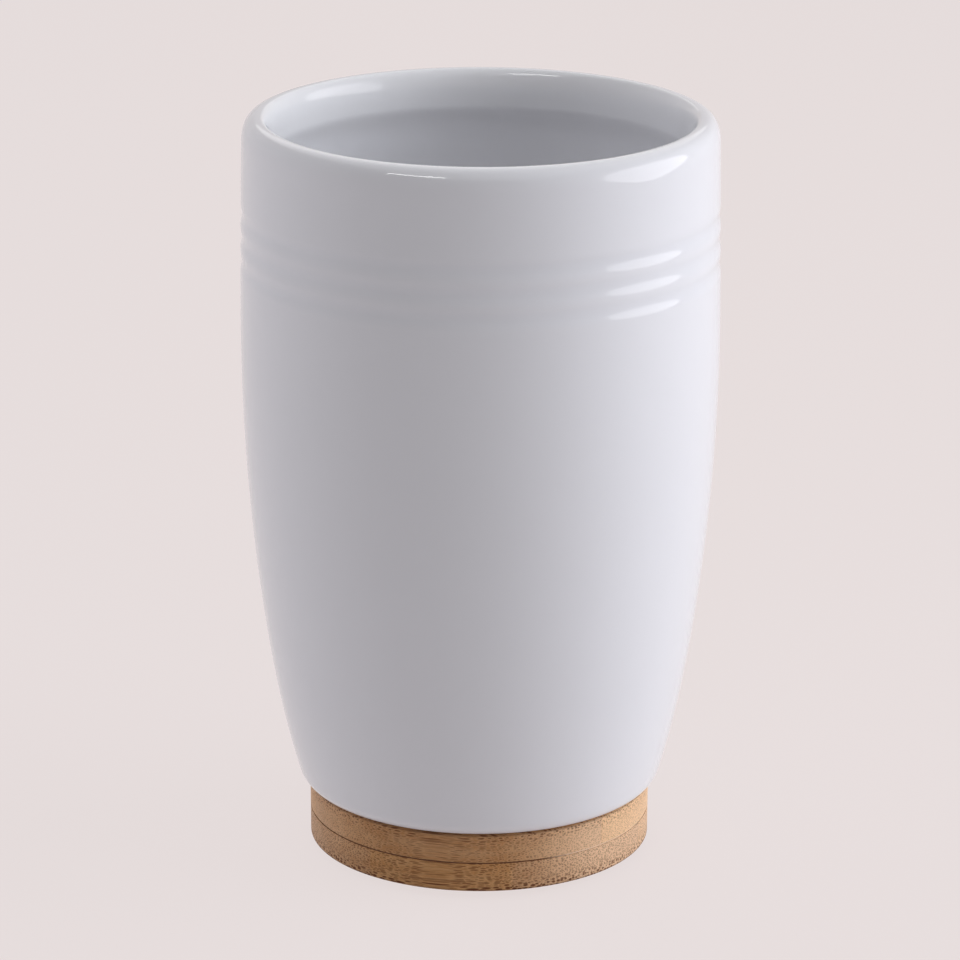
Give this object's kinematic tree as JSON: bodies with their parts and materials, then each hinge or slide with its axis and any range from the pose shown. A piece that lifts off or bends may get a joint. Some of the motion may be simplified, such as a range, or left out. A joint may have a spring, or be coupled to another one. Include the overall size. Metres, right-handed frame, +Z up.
{
  "type": "bathroom tumbler",
  "caption": "Round glazed ceramic bathroom tumbler with turned grooves below a rounded rim, bonded to a laminated bamboo base with foot pads.",
  "frame": {"origin": "on the table plane under the foot pads, on the cup's axis", "axes": "+Z up along the cup's axis, -Y towards the side that the picture shows, +X to its right"},
  "size_m": [0.07, 0.07, 0.1112],
  "materials": {
    "white_glaze": "glossy cool white glaze over a cast ceramic body, unglazed under the foot",
    "bamboo": "carbonised laminated bamboo, sanded smooth with a thin satin lacquer",
    "glue_film": "thin dark wood glue line, matt",
    "adhesive": "cured construction adhesive, off-white",
    "clear_silicone": "clear soft silicone pad, smooth"
  },
  "bodies": {
    "root": {"ceramic_cup": "white_glaze", "foot_adhesive": "adhesive", "upper_strip_1": "bamboo", "upper_strip_2": "bamboo", "upper_strip_3": "bamboo", "ply_glue_film": "glue_film", "lower_strip_1": "bamboo", "lower_strip_2": "bamboo", "lower_strip_3": "bamboo", "lower_strip_4": "bamboo", "foot_pad_1": "clear_silicone", "foot_pad_2": "clear_silicone", "foot_pad_3": "clear_silicone", "foot_pad_4": "clear_silicone"}
  },
  "joints": []
}
